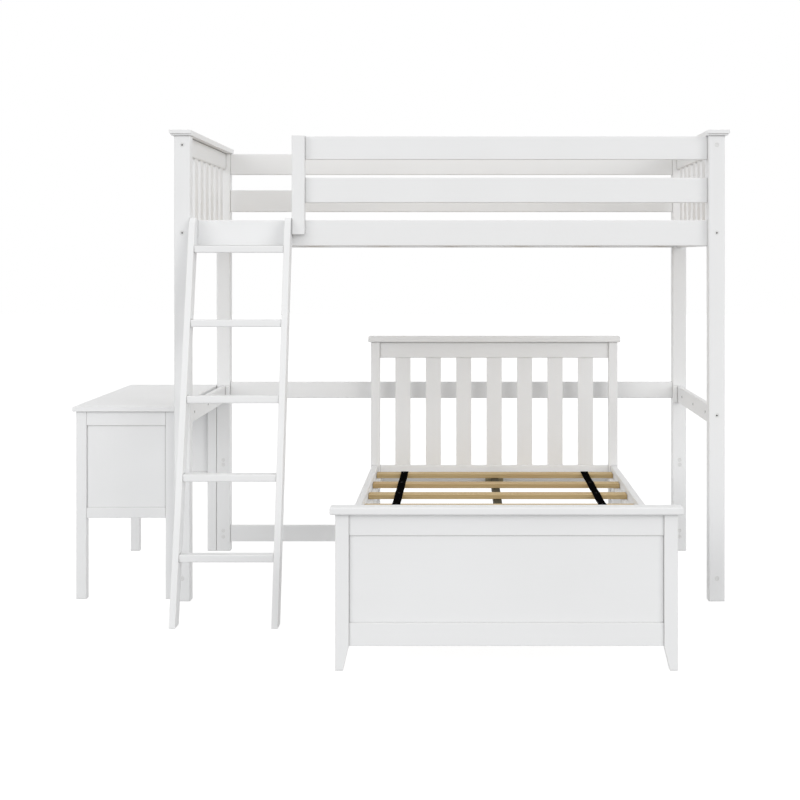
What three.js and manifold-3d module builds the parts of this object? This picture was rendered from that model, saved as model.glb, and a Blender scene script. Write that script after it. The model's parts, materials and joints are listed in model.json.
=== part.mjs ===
// L-shaped bunk bed: a high loft bed with a slanted ladder and a desk at its left end,
// and a lower bed that stands free beneath it, at right angles to it.
// Millimetres, +Z up. X runs along the loft, Y runs from its front to its back.
// The pieces are set out from the middle of the loft's front face at the floor, and the
// whole is then shifted so that the origin lies under the middle of its outer box.

import * as THREE from "three";
import { mergeVertices } from "three/addons/utils/BufferGeometryUtils.js";
import Module from "manifold-3d";

const wasm = await Module();
wasm.setup();

// Driving dimensions

// The mattress that each of the two beds holds
const mattressLength = 1905;
const mattressWidth = 990;

// Play, edges and overruns that all pieces share
const seam = 0.3;
const boardRound = 4;
const postRound = 5;
const thinRound = 2;
const capRound = 5;
const overrun = 2;
const roundSteps = 4;
const boltSides = 18;

// Loft posts, rails and boards
const loftLengthPlay = 23;
const loftWidthPlay = 2;
const postSize = 60;
const postHeight = 1732;
const boardThickness = 22;
const railRecess = 32;
const loftRailDrop = 410;
const loftRailHeight = 96;
const frontUpperGuardHeight = 88;
const frontLowerGuardHeight = 94;
const backUpperGuardHeight = 91;
const backLowerGuardHeight = 95;
const guardGap = 67;
const backGuardDrop = 2;
const uprightWidth = 47.5;
const uprightLength = 367.5;

// Caps on the loft's ends
const capSlabThickness = 13.5;
const capStepThickness = 7;
const capStepInset = 5.5;
const capOuterOverhang = 17;
const capInnerOverhang = 5;
const capEndOverhang = 14;

// Slatted panels in the loft's ends
const endTopRailHeight = 70;
const endSlatWidth = 65;
const endSlatThickness = 15;
const endSlatCount = 7;
const tenonDepth = 15;

// Tie rails low on the loft, and the cleats in its back corners
const endTieBottom = 649;
const endTieHeight = 70;
const endTieHolePitch = 331;
const endTieHoleCount = 3;
const endTieHoleRadius = 6;
const endTieHoleDepth = 12;
const backTieHeight = 71;
const upperBackTieBottom = 665;
const lowerBackTieBottom = 39.5;
const cleatDepth = 22;

// Bolt recesses in the posts
const boltRecessRadius = 7.5;
const boltRecessDepth = 2.5;
const lowBoltHeight = 85;
const endTieBoltRise = 7;
const tieBoltSpread = 26.5;
const spareBoltHeight = 386;
const spareBoltSpread = 21;

// Ladder
const ladderOpening = 377;
const ladderRise = 7;
const ladderFootReach = 446;
const ladderTopReach = 26;
const stileWidth = 23;
const stileDepth = 74;
const stileChamfer = 22;
const rungCount = 5;
const firstRungTop = 241;
const rungThickness = 26;
const rungDepth = 50;
const rungSetback = 4;

// Desk at the loft's left end
const deskWidth = 385.5;
const deskHeight = 721;
const deskFront = 30;
const deskBackGap = 10;
const deskTopThickness = 18.5;
const deskTopOverhang = 12;
const deskSideOverhang = 11.5;
const deskLegSize = 39;
const deskApronHeight = 53;
const deskApronThickness = 20;
const deskBottomRailTop = 341;
const deskPanelThickness = 8;
const deskBottomRailHeight = 38;
const deskRailSetback = 2;
const deskPanelSetback = 8;

// Lower bed
const bedCentre = 185;
const headboardGap = 150;
const bedLengthPlay = 14;
const bedWidthPlay = 13;
const sideRailThickness = 26;
const sideRailInset = 3;
const sideRailTop = 383;
const sideRailHeight = 150;
const ledgeWidth = 20;
const ledgeHeight = 22;

// Slats and straps of both beds
const slatCount = 7;
const slatWidth = 72;
const slatThickness = 18;
const firstSlatGap = 36;
const lastSlatGap = 9;
const slatEndPlay = 1;
const strapWidth = 31;
const strapThickness = 2;
const strapSpread = 766;
const strapOverhang = 12;

// Headboard
const headboardHeight = 940;
const headPostWidth = 38;
const headPostDepth = 45;
const headCapThickness = 26;
const headCapOverhang = 11;
const headTopRailHeight = 68;
const headBottomRailHeight = 90;
const headSlatCount = 7;
const headSlatWidth = 65;
const headSlatThickness = 14;

// Footboard
const footboardHeight = 508;
const footPostWidth = 42;
const footPostDepth = 42;
const footTaper = 18;
const footCapThickness = 24;
const footCapSideOverhang = 16;
const footCapFrontOverhang = 20;
const footTopRailHeight = 67;
const footBottomRailHeight = 71;
const footClearHeight = 74.5;
const footRailSetback = 8;
const footRailThickness = 16;
const footPanelSetback = 14;
const footPanelThickness = 9;

// Centre support under the lower bed's slats
const centreRailWidth = 30;
const centreRailHeight = 45;
const centreLegSize = 38;
const bracketWidth = 76;
const bracketThickness = 5;
const bracketShelf = 40;
const restBlockWidth = 60;
const restBlockHeight = 40;
const restBlockDepth = 36;

// Places worked out from them

const loftHalf = (mattressLength + loftLengthPlay) / 2 + postSize;
const postInner = loftHalf - postSize;
const boardBack = railRecess + boardThickness;
const loftDepth = mattressWidth + loftWidthPlay + 2 * boardBack;
const endMiddle = loftHalf - postSize / 2;
const loftRailBottom = postHeight - loftRailDrop;
const loftRailTop = loftRailBottom + loftRailHeight;
const backGuardTop = postHeight - backGuardDrop;
const guardHeights = {
  front: guardPair(postHeight, frontUpperGuardHeight, frontLowerGuardHeight),
  back: guardPair(backGuardTop, backUpperGuardHeight, backLowerGuardHeight),
};
const ladderTop = loftRailTop + ladderRise;
const rungPitch = (loftRailBottom - firstRungTop) / (rungCount - 1);
const uprightLeft = ladderOpening - postInner;
const uprightRight = uprightLeft + uprightWidth;
const deskLegTop = deskHeight - deskTopThickness;
const slatRun = mattressLength - firstSlatGap - lastSlatGap;
const slatPitch = (slatRun - slatWidth) / (slatCount - 1);
const slatTop = sideRailTop - ledgeHeight;
const ledgeTop = slatTop - slatThickness;
const loftLedgeTop = loftRailBottom + ledgeHeight;
const bedBack = loftDepth - headboardGap;
const bedInner = mattressLength + bedLengthPlay;
const railInner = (mattressWidth + bedWidthPlay) / 2;
const bedHalf = railInner + sideRailThickness + sideRailInset;
const bedWidth = 2 * bedHalf;
const headPostTop = headboardHeight - headCapThickness;
const footPostTop = footboardHeight - footCapThickness;
const lean = (ladderFootReach - ladderTopReach) / ladderTop;

const outerLeft = -loftHalf - deskWidth;
const outerRight = loftHalf + capOuterOverhang;
const outerFront = bedBack - bedInner - footPostDepth - footCapFrontOverhang;
const outerBack = loftDepth + capEndOverhang;

// Finishes

const finishes = {
  paint: { color: 0xf3f3f1, roughness: 0.45, metalness: 0 },
  pine: { color: 0xd8b57e, roughness: 0.6, metalness: 0 },
  webbing: { color: 0x18181a, roughness: 0.85, metalness: 0 },
  steel: { color: 0x5a5c50, roughness: 0.5, metalness: 0.6 },
};

// Shapes

// Each extrusion runs along one axis, and these two are the outline's own axes in order.
const outlineAxes = { x: ["y", "z"], y: ["z", "x"], z: ["x", "y"] };
const unit = {
  x: new THREE.Vector3(1, 0, 0),
  y: new THREE.Vector3(0, 1, 0),
  z: new THREE.Vector3(0, 0, 1),
};

// A rectangle with its corners rounded, as points that run anticlockwise.
function roundedOutline([left, right], [low, high], radius) {
  const centres = [
    [right - radius, high - radius],
    [left + radius, high - radius],
    [left + radius, low + radius],
    [right - radius, low + radius],
  ];
  return centres.flatMap(([x, y], quarter) =>
    Array.from({ length: roundSteps + 1 }, (_, step) => {
      const angle = (quarter + step / roundSteps) * (Math.PI / 2);
      return new THREE.Vector2(x + radius * Math.cos(angle), y + radius * Math.sin(angle));
    }),
  );
}

// An outline pushed along one axis, from the first to the second end.
function extrude(points, along, [from, to]) {
  const shape = new THREE.Shape(points);
  const geometry = new THREE.ExtrudeGeometry(shape, { depth: to - from, bevelEnabled: false });
  const [across, up] = outlineAxes[along];
  geometry.translate(0, 0, from);
  return geometry.applyMatrix4(new THREE.Matrix4().makeBasis(unit[across], unit[up], unit[along]));
}

// A straight board or post, its long edges rounded. A span holds its two ends on each axis.
function bar(span, along, radius = boardRound) {
  const [across, up] = outlineAxes[along];
  return extrude(roundedOutline(span[across], span[up], radius), along, span[along]);
}

// A closed geometry as a solid that can be joined and cut, and back again.
function solidOf(geometry) {
  const bare = geometry.clone();
  bare.deleteAttribute("normal");
  bare.deleteAttribute("uv");
  const merged = mergeVertices(bare);
  const vertProperties = merged.attributes.position.array;
  const triVerts = new Uint32Array(merged.index.array);
  return new wasm.Manifold(new wasm.Mesh({ numProp: 3, vertProperties, triVerts }));
}

function geometryOf(solid) {
  const mesh = solid.getMesh();
  const geometry = new THREE.BufferGeometry();
  geometry.setAttribute("position", new THREE.BufferAttribute(mesh.vertProperties, 3));
  geometry.setIndex(new THREE.BufferAttribute(mesh.triVerts, 1));
  geometry.computeVertexNormals();
  return geometry;
}

function join(...geometries) {
  return geometryOf(geometries.map(solidOf).reduce((whole, piece) => whole.add(piece)));
}

function cut(geometry, tools) {
  return geometryOf(tools.map(solidOf).reduce((whole, tool) => whole.subtract(tool), solidOf(geometry)));
}

function overlap(first, second) {
  return geometryOf(solidOf(first).intersect(solidOf(second)));
}

// The same run of numbers, spread evenly about the middle.
function spread(count, pitch, middle = 0) {
  return Array.from({ length: count }, (_, index) => middle + (index - (count - 1) / 2) * pitch);
}

// The middles of pieces that leave the same gap to each other and to the two ends.
function evenly(count, width, [from, to]) {
  const gap = (to - from - count * width) / (count + 1);
  return Array.from({ length: count }, (_, index) => from + gap + width / 2 + index * (gap + width));
}

function around(middle, width) {
  return [middle - width / 2, middle + width / 2];
}

// A space between two faces, less the seam at each of them.
function between(from, to) {
  return [from + seam, to - seam];
}

// A round recess that starts at a face and runs into the piece along one axis.
function recess(centre, along, radius, from, to) {
  const tool = new THREE.CylinderGeometry(radius, radius, to - from, boltSides);
  if (along === "x") tool.rotateZ(Math.PI / 2);
  const middle = { ...centre, [along]: (from + to) / 2 };
  return tool.translate(middle.x, middle.y, middle.z);
}

// A named piece in a group, its own origin at its middle.
function addPiece(group, name, geometry, finish) {
  geometry.computeBoundingBox();
  const middle = geometry.boundingBox.getCenter(new THREE.Vector3());
  geometry.translate(-middle.x, -middle.y, -middle.z);
  const mesh = new THREE.Mesh(geometry, new THREE.MeshStandardMaterial(finishes[finish]));
  mesh.name = name;
  mesh.position.copy(middle);
  group.add(mesh);
}

// A cap with every upright edge and long edge rounded.
function roundedCap(x, y, z) {
  return overlap(bar({ x, y, z }, "x", capRound), bar({ x, y, z }, "y", capRound));
}

// A panel of upright slats held by a rail above and a rail below. The rails and slats run
// across one axis, and the slats' tenons reach into both rails.
function slattedPanel({ across, length, depthAxis, middle, railThickness, top, bottom, slats }) {
  const rail = (z) => bar({ [across]: length, [depthAxis]: around(middle, railThickness), z }, across);
  const slatHeights = [bottom[1] - tenonDepth, top[0] + tenonDepth];
  const uprights = slats.places.map((place) =>
    bar(
      { [across]: around(place, slats.width), [depthAxis]: around(middle, slats.thickness), z: slatHeights },
      "z",
      thinRound,
    ),
  );
  return join(rail(top), rail(bottom), ...uprights);
}

// Loft

const sides = { left: -1, right: 1 };

// A span on one side of the middle, in rising order.
function mirrored(side, from, to) {
  return side < 0 ? [-to, -from] : [from, to];
}

// The upper and the lower guard board of one face, as spans of height below a top edge.
function guardPair(top, upperHeight, lowerHeight) {
  const upper = [top - upperHeight, top];
  const lowerTop = upper[0] - guardGap;
  return { upper, lower: [lowerTop - lowerHeight, lowerTop] };
}

function middleOf([from, to]) {
  return (from + to) / 2;
}

// The heights of the bolts in a post's front face, which hold the end of the loft together.
function frontBoltHeights(face) {
  const tieMiddle = lowerBackTieBottom + backTieHeight / 2;
  if (face === "back") {
    return [...spread(2, tieBoltSpread, tieMiddle), ...spread(2, spareBoltSpread, spareBoltHeight)];
  }
  const tieBolt = endTieBottom + endTieHeight / 2 + endTieBoltRise;
  const railMiddle = loftRailBottom + loftRailHeight / 2;
  return [lowBoltHeight, tieBolt, railMiddle, postHeight - endTopRailHeight / 2];
}

// The heights of the bolts in a post's outer face, one for each rail or board that ends there.
function outerBoltHeights(side, face) {
  const rail = loftRailBottom + loftRailHeight / 2;
  const guards = Object.values(guardHeights[face]).map(middleOf);
  if (face === "front") return side < 0 ? [rail] : [rail, ...guards];
  const ties = [upperBackTieBottom, lowerBackTieBottom].map((low) => low + backTieHeight / 2);
  return [rail, ...guards, ...ties];
}

function loftPost(side, face) {
  const front = face === "front";
  const y = front ? [0, postSize] : [loftDepth - postSize, loftDepth];
  const body = bar({ x: mirrored(side, postInner, loftHalf), y, z: [0, postHeight] }, "z", postRound);
  const boardMiddle = railRecess + boardThickness / 2;
  const frontBolts = frontBoltHeights(face).map((z) =>
    recess({ x: side * endMiddle, z }, "y", boltRecessRadius, y[0] - overrun, y[0] + boltRecessDepth),
  );
  const outerX = mirrored(side, loftHalf - boltRecessDepth, loftHalf + overrun);
  const outerY = front ? boardMiddle : loftDepth - boardMiddle;
  const outerBolts = outerBoltHeights(side, face).map((z) =>
    recess({ y: outerY, z }, "x", boltRecessRadius, ...outerX),
  );
  return cut(body, [...frontBolts, ...outerBolts]);
}

// A cap is a slab on a step that is set in on three sides. The side that looks into the loft
// is one plain face.
function endCap(side) {
  const layer = (inset, z) => {
    const x = mirrored(side, postInner - capInnerOverhang, loftHalf + capOuterOverhang - inset);
    const y = [inset - capEndOverhang, loftDepth + capEndOverhang - inset];
    return bar({ x, y, z }, "y", thinRound);
  };
  const slabLow = postHeight + capStepThickness;
  const step = layer(capStepInset, [postHeight + seam, slabLow + capSlabThickness]);
  const slab = layer(0, [slabLow, slabLow + capSlabThickness]);
  return join(step, slab);
}

function loftEndPanel(side) {
  return slattedPanel({
    across: "y",
    length: between(postSize, loftDepth - postSize),
    depthAxis: "x",
    middle: side * endMiddle,
    railThickness: boardThickness,
    top: [postHeight - endTopRailHeight, postHeight],
    bottom: [loftRailBottom, loftRailTop],
    slats: {
      places: evenly(endSlatCount, endSlatWidth, [postSize, loftDepth - postSize]),
      width: endSlatWidth,
      thickness: endSlatThickness,
    },
  });
}

// The end tie rails carry three bolt recesses in the face that looks into the loft.
function endTieRail(side) {
  const body = bar(
    {
      x: around(side * endMiddle, boardThickness),
      y: between(postSize, loftDepth - postSize),
      z: [endTieBottom, endTieBottom + endTieHeight],
    },
    "y",
  );
  const face = side * (endMiddle - boardThickness / 2);
  const z = endTieBottom + endTieHeight / 2;
  const [from, to] = [face - side * overrun, face + side * endTieHoleDepth].sort((a, b) => a - b);
  const tools = spread(endTieHoleCount, endTieHolePitch, loftDepth / 2).map((y) =>
    recess({ y, z }, "x", endTieHoleRadius, from, to),
  );
  return cut(body, tools);
}

// The loft's side rails carry a ledge for the slats along the inner face.
function loftSideRail(face) {
  const front = face === "front";
  const x = between(-postInner, postInner);
  const boardY = front ? [railRecess, boardBack] : [loftDepth - boardBack, loftDepth - railRecess];
  const ledgeY = front
    ? [boardBack - boardRound, boardBack + ledgeWidth]
    : [loftDepth - boardBack - ledgeWidth, loftDepth - boardBack + boardRound];
  const board = bar({ x, y: boardY, z: [loftRailBottom, loftRailTop] }, "x");
  const ledge = bar({ x, y: ledgeY, z: [loftRailBottom, loftLedgeTop] }, "x", thinRound);
  return join(board, ledge);
}

function guardBoard(face, [low, high]) {
  const front = face === "front";
  const x = between(front ? uprightRight : -postInner, postInner);
  const y = front ? [railRecess, boardBack] : [loftDepth - boardBack, loftDepth - railRecess];
  return bar({ x, y, z: [low, high] }, "x");
}

// The short upright beside the ladder opening laps over the side rail and rises behind the
// line of the guard boards, which butt against it.
function guardUpright() {
  const x = [uprightLeft, uprightRight];
  const frontZ = [postHeight - uprightLength, postHeight];
  const front = bar({ x, y: [0, railRecess - seam], z: frontZ }, "z", boardRound);
  const tongue = bar(
    { x, y: [railRecess - boardRound * 2, boardBack], z: [loftRailTop + seam, postHeight] },
    "z",
    thinRound,
  );
  return join(front, tongue);
}

function backTieRail(bottom) {
  return bar(
    {
      x: between(-postInner, postInner),
      y: [loftDepth - boardBack, loftDepth - railRecess],
      z: [bottom, bottom + backTieHeight],
    },
    "x",
  );
}

function cornerCleat(side) {
  const tieFace = endMiddle - boardThickness / 2;
  const back = loftDepth - postSize;
  return bar(
    {
      x: mirrored(side, postInner, tieFace - seam),
      y: [back - cleatDepth, back - seam],
      z: [endTieBottom, endTieBottom + endTieHeight],
    },
    "z",
    thinRound,
  );
}

// Slats that lie across two ledges, one after another along the bed, to the left or right.
function slatSpans(start, direction) {
  return Array.from({ length: slatCount }, (_, index) => {
    const near = start + direction * (firstSlatGap + index * slatPitch);
    return direction < 0 ? [near - slatWidth, near] : [near, near + slatWidth];
  });
}

// The loft's slats and the two straps that space them are one roll.
function loftSlatRoll() {
  const y = [boardBack + slatEndPlay, loftDepth - boardBack - slatEndPlay];
  const z = [loftLedgeTop + seam, loftLedgeTop + seam + slatThickness];
  const spans = slatSpans(-postInner, 1);
  const slats = spans.map((x) => bar({ x, y, z }, "y", thinRound));
  const straps = spread(2, strapSpread, loftDepth / 2).map((place) =>
    bar(
      {
        x: [spans[0][0] + strapOverhang, spans[slatCount - 1][1] - strapOverhang],
        y: around(place, strapWidth),
        z: [z[1] - strapThickness / 2, z[1] + strapThickness],
      },
      "x",
      strapThickness / 4,
    ),
  );
  return join(...slats, ...straps);
}

function buildLoft(group) {
  for (const [sideName, side] of Object.entries(sides)) {
    for (const face of ["front", "back"]) {
      addPiece(group, `loft_post_${face}_${sideName}`, loftPost(side, face), "paint");
    }
    addPiece(group, `loft_end_cap_${sideName}`, endCap(side), "paint");
    addPiece(group, `loft_end_slat_panel_${sideName}`, loftEndPanel(side), "paint");
    addPiece(group, `end_tie_rail_${sideName}`, endTieRail(side), "paint");
    addPiece(group, `corner_cleat_${sideName}`, cornerCleat(side), "paint");
  }
  for (const [face, guards] of Object.entries(guardHeights)) {
    addPiece(group, `loft_side_rail_${face}`, loftSideRail(face), "paint");
    addPiece(group, `guard_board_${face}_lower`, guardBoard(face, guards.lower), "paint");
    addPiece(group, `guard_board_${face}_upper`, guardBoard(face, guards.upper), "paint");
  }
  addPiece(group, "guard_upright", guardUpright(), "paint");
  addPiece(group, "back_tie_rail_upper", backTieRail(upperBackTieBottom), "paint");
  addPiece(group, "back_tie_rail_lower", backTieRail(lowerBackTieBottom), "paint");
  addPiece(group, "loft_slat_roll", loftSlatRoll(), "pine");
}

// Ladder

// Where a stile's front edge stands at a height.
function stileFront(z) {
  return lean * z - ladderFootReach;
}

// A stile leans back to the side rail's face, where it is cut upright.
function ladderStile(x) {
  const railFace = railRecess - seam;
  const meetHeight = (railFace - stileDepth + ladderFootReach) / lean;
  const chamferHeight = ladderTop - stileChamfer;
  const points = [
    [stileFront(0), 0],
    [stileFront(0) + stileDepth, 0],
    [railFace, meetHeight],
    [railFace, ladderTop],
    [stileFront(chamferHeight) + stileChamfer, ladderTop],
    [stileFront(chamferHeight), chamferHeight],
  ];
  return extrude(
    points.map(([y, z]) => new THREE.Vector2(y, z)),
    "x",
    x,
  );
}

function ladderRung(x, top) {
  const front = stileFront(top - rungThickness / 2) + rungSetback;
  return bar({ x, y: [front, front + rungDepth], z: [top - rungThickness, top] }, "x");
}

function buildLadder(group) {
  const [left, right] = between(-postInner, uprightLeft);
  addPiece(group, "ladder_stile_left", ladderStile([left, left + stileWidth]), "paint");
  addPiece(group, "ladder_stile_right", ladderStile([right - stileWidth, right]), "paint");
  const inside = between(left + stileWidth, right - stileWidth);
  for (let index = 0; index < rungCount; index += 1) {
    const top = firstRungTop + index * rungPitch;
    addPiece(group, `ladder_rung_${index + 1}`, ladderRung(inside, top), "paint");
  }
}

// Desk

// An end panel between two legs: an apron and a bottom rail near the legs' outer face, and a
// thin panel set back between them. It looks outwards, which is -1 at the front and 1 behind.
function deskEndPanel(face, outward, x) {
  const layerY = (setback, thickness) => {
    const outer = face - outward * setback;
    const inner = outer - outward * thickness;
    return outward < 0 ? [outer, inner] : [inner, outer];
  };
  const railY = layerY(deskRailSetback, deskApronThickness);
  const panelY = layerY(deskPanelSetback, deskPanelThickness);
  const apronBottom = deskLegTop - deskApronHeight;
  const railBottom = deskBottomRailTop - deskBottomRailHeight;
  return join(
    bar({ x, y: railY, z: [apronBottom, deskLegTop - seam] }, "x", thinRound),
    bar({ x, y: railY, z: [railBottom, deskBottomRailTop] }, "x", thinRound),
    bar({ x, y: panelY, z: [deskBottomRailTop - tenonDepth, apronBottom + tenonDepth] }, "z", thinRound),
  );
}

function buildDesk(group) {
  const right = -loftHalf - seam;
  const left = -loftHalf - deskWidth;
  const back = loftDepth - deskBackGap;
  const legLeft = [left + deskSideOverhang, left + deskSideOverhang + deskLegSize];
  const legRight = [right - deskLegSize, right];
  const legFront = [deskFront + deskTopOverhang, deskFront + deskTopOverhang + deskLegSize];
  const legBack = [back - deskTopOverhang - deskLegSize, back - deskTopOverhang];
  const top = bar({ x: [left, right], y: [deskFront, back], z: [deskLegTop, deskHeight] }, "y", boardRound);
  addPiece(group, "desk_top", top, "paint");
  const legZ = [0, deskLegTop - seam];
  for (const [face, y] of Object.entries({ front: legFront, back: legBack })) {
    addPiece(group, `desk_leg_${face}_left`, bar({ x: legLeft, y, z: legZ }, "z", boardRound), "paint");
    addPiece(group, `desk_leg_${face}_right`, bar({ x: legRight, y, z: legZ }, "z", boardRound), "paint");
  }
  const inside = between(legLeft[1], legRight[0]);
  addPiece(group, "desk_end_panel_front", deskEndPanel(legFront[0], -1, inside), "paint");
  addPiece(group, "desk_end_panel_back", deskEndPanel(legBack[1], 1, inside), "paint");
  const apronZ = [deskLegTop - deskApronHeight, deskLegTop - seam];
  const apronY = between(legFront[1], legBack[0]);
  const apron = (x) => bar({ x, y: apronY, z: apronZ }, "y", thinRound);
  const outerApron = [legLeft[0] + deskRailSetback, legLeft[0] + deskRailSetback + deskApronThickness];
  const innerApron = [right - deskApronThickness, right];
  addPiece(group, "desk_long_apron_outer", apron(outerApron), "paint");
  addPiece(group, "desk_long_apron_inner", apron(innerApron), "paint");
}

// Lower bed. Its own origin is at the floor, under the middle of the headboard's front face.

function headboardCap() {
  const x = around(0, bedWidth + 2 * headCapOverhang);
  const y = [-headCapOverhang, headPostDepth + headCapOverhang];
  return roundedCap(x, y, [headPostTop, headboardHeight]);
}

function headboardPanel() {
  return slattedPanel({
    across: "x",
    length: between(headPostWidth - bedHalf, bedHalf - headPostWidth),
    depthAxis: "y",
    middle: headPostDepth / 2,
    railThickness: boardThickness,
    top: [headPostTop - headTopRailHeight, headPostTop - seam],
    bottom: [sideRailTop - headBottomRailHeight, sideRailTop],
    slats: {
      places: evenly(headSlatCount, headSlatWidth, [headPostWidth - bedHalf, bedHalf - headPostWidth]),
      width: headSlatWidth,
      thickness: headSlatThickness,
    },
  });
}

// A footboard post narrows on its inner side below the bottom rail.
function footboardPost(side) {
  const outline = [
    [bedHalf, 0],
    [bedHalf, footPostTop - seam],
    [bedHalf - footPostWidth, footPostTop - seam],
    [bedHalf - footPostWidth, footClearHeight],
    [bedHalf - footPostWidth + footTaper, 0],
  ];
  // The outline's own axes are Z and X, so a post on the right runs the other way round.
  const points = outline.map(([x, z]) => new THREE.Vector2(z, side * x));
  return extrude(points, "y", [-bedInner - footPostDepth, -bedInner]);
}

function footboardCap() {
  const x = around(0, bedWidth + 2 * footCapSideOverhang);
  const y = [-bedInner - footPostDepth - footCapFrontOverhang, -bedInner];
  return roundedCap(x, y, [footPostTop, footboardHeight]);
}

// The footboard's rails and panel, with the block that holds the centre rail's foot end.
function footboardPanel() {
  const x = between(footPostWidth - bedHalf, bedHalf - footPostWidth);
  const front = -bedInner - footPostDepth;
  const railY = [front + footRailSetback, front + footRailSetback + footRailThickness];
  const panelY = [front + footPanelSetback, front + footPanelSetback + footPanelThickness];
  const topRailBottom = footPostTop - footTopRailHeight;
  const bottomRailTop = footClearHeight + footBottomRailHeight;
  const blockTop = ledgeTop - centreRailHeight - 2 * seam;
  const blockY = [panelY[1] - thinRound, panelY[1] + restBlockDepth];
  const blockZ = [blockTop - restBlockHeight, blockTop];
  return join(
    bar({ x, y: railY, z: [topRailBottom, footPostTop - seam] }, "x", thinRound),
    bar({ x, y: railY, z: [footClearHeight, bottomRailTop] }, "x", thinRound),
    bar({ x, y: panelY, z: [bottomRailTop - tenonDepth, topRailBottom + tenonDepth] }, "z", thinRound),
    bar({ x: around(0, restBlockWidth), y: blockY, z: blockZ }, "z", thinRound),
  );
}

function bedSideRail(side) {
  const y = between(-bedInner, 0);
  const z = [sideRailTop - sideRailHeight, sideRailTop];
  const board = bar({ x: mirrored(side, railInner, bedHalf - sideRailInset), y, z }, "y");
  const ledgeX = mirrored(side, railInner - ledgeWidth, railInner + boardRound);
  const ledge = bar({ x: ledgeX, y, z: [ledgeTop - ledgeHeight, ledgeTop] }, "y", thinRound);
  return join(board, ledge);
}

// An angle bracket on the headboard's bottom rail: an upright plate with a shelf for the rail.
function centreBracket() {
  const plateFace = (headPostDepth - boardThickness) / 2 - seam;
  const shelfTop = ledgeTop - centreRailHeight - 2 * seam;
  const x = around(0, bracketWidth);
  const plateY = [plateFace - bracketThickness, plateFace];
  const shelfY = [plateFace - bracketShelf, plateFace - bracketThickness / 2];
  const low = shelfTop - bracketThickness;
  const edge = bracketThickness / 4;
  const plate = bar({ x, y: plateY, z: [low, ledgeTop] }, "z", edge);
  const shelf = bar({ x, y: shelfY, z: [low, shelfTop] }, "y", edge);
  return join(plate, shelf);
}

function buildLowerBed(group) {
  for (const [sideName, side] of Object.entries(sides)) {
    const postX = mirrored(side, bedHalf - headPostWidth, bedHalf);
    const headPost = bar({ x: postX, y: [0, headPostDepth], z: [0, headPostTop - seam] }, "z");
    addPiece(group, `headboard_post_${sideName}`, headPost, "paint");
    addPiece(group, `footboard_post_${sideName}`, footboardPost(side), "paint");
    addPiece(group, `bed_side_rail_${sideName}`, bedSideRail(side), "paint");
  }
  addPiece(group, "headboard_cap", headboardCap(), "paint");
  addPiece(group, "headboard_slat_panel", headboardPanel(), "paint");
  addPiece(group, "footboard_cap", footboardCap(), "paint");
  addPiece(group, "footboard_panel", footboardPanel(), "paint");

  const slatX = [slatEndPlay - railInner, railInner - slatEndPlay];
  const slatZ = [ledgeTop + seam, ledgeTop + slatThickness];
  const spans = slatSpans(0, -1);
  spans.forEach((y, index) => {
    addPiece(group, `bed_slat_${index + 1}`, bar({ x: slatX, y, z: slatZ }, "x", thinRound), "pine");
  });
  const strapY = [spans[slatCount - 1][0] + strapOverhang, spans[0][1] - strapOverhang];
  const strapZ = [slatTop + seam, slatTop + seam + strapThickness];
  spread(2, strapSpread).forEach((place, index) => {
    const strap = bar({ x: around(place, strapWidth), y: strapY, z: strapZ }, "y", strapThickness / 4);
    addPiece(group, `slat_strap_${["left", "right"][index]}`, strap, "webbing");
  });

  const railZ = [ledgeTop - centreRailHeight - seam, ledgeTop - seam];
  const plateFace = (headPostDepth - boardThickness) / 2 - seam - bracketThickness;
  const railY = [footPanelSetback + footPanelThickness + seam - bedInner - footPostDepth, plateFace - seam];
  const centreRail = bar({ x: around(0, centreRailWidth), y: railY, z: railZ }, "y", thinRound);
  addPiece(group, "centre_support_rail", centreRail, "steel");
  const legZ = [0, railZ[0] - seam];
  const legY = around(-bedInner / 2, centreLegSize);
  const centreLeg = bar({ x: around(0, centreLegSize), y: legY, z: legZ }, "z");
  addPiece(group, "centre_support_leg", centreLeg, "paint");
  addPiece(group, "centre_bracket", centreBracket(), "steel");
}

// The whole

const bunk = new THREE.Group();
bunk.position.set(-(outerLeft + outerRight) / 2, -(outerFront + outerBack) / 2, 0);
buildLoft(bunk);
buildLadder(bunk);
buildDesk(bunk);

const lowerBed = new THREE.Group();
lowerBed.position.set(bedCentre, bedBack, 0);
buildLowerBed(lowerBed);
bunk.add(lowerBed);

const bed = new THREE.Group();
bed.add(bunk);

export default bed;
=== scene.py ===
import json
import math

import bmesh
import bpy
from mathutils import Matrix, Vector


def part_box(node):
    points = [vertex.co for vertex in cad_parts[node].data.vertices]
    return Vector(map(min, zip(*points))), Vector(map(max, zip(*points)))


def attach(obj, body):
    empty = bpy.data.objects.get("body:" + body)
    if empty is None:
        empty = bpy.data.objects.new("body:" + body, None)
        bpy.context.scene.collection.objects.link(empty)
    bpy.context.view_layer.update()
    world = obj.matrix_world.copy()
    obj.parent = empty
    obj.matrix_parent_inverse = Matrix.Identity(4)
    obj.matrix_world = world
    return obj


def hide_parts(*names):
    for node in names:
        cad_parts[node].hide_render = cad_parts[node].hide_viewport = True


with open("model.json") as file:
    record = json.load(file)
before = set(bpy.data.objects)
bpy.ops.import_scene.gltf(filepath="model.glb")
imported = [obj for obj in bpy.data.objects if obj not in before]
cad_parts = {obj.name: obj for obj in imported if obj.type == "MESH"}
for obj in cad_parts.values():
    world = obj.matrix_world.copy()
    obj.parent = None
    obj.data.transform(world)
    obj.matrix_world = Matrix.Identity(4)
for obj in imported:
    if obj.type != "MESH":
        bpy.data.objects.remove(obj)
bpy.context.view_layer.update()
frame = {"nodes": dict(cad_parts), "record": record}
nodes = frame["nodes"]
scene = bpy.context.scene

# Sizes are in metres.
MM = 0.001

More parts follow.
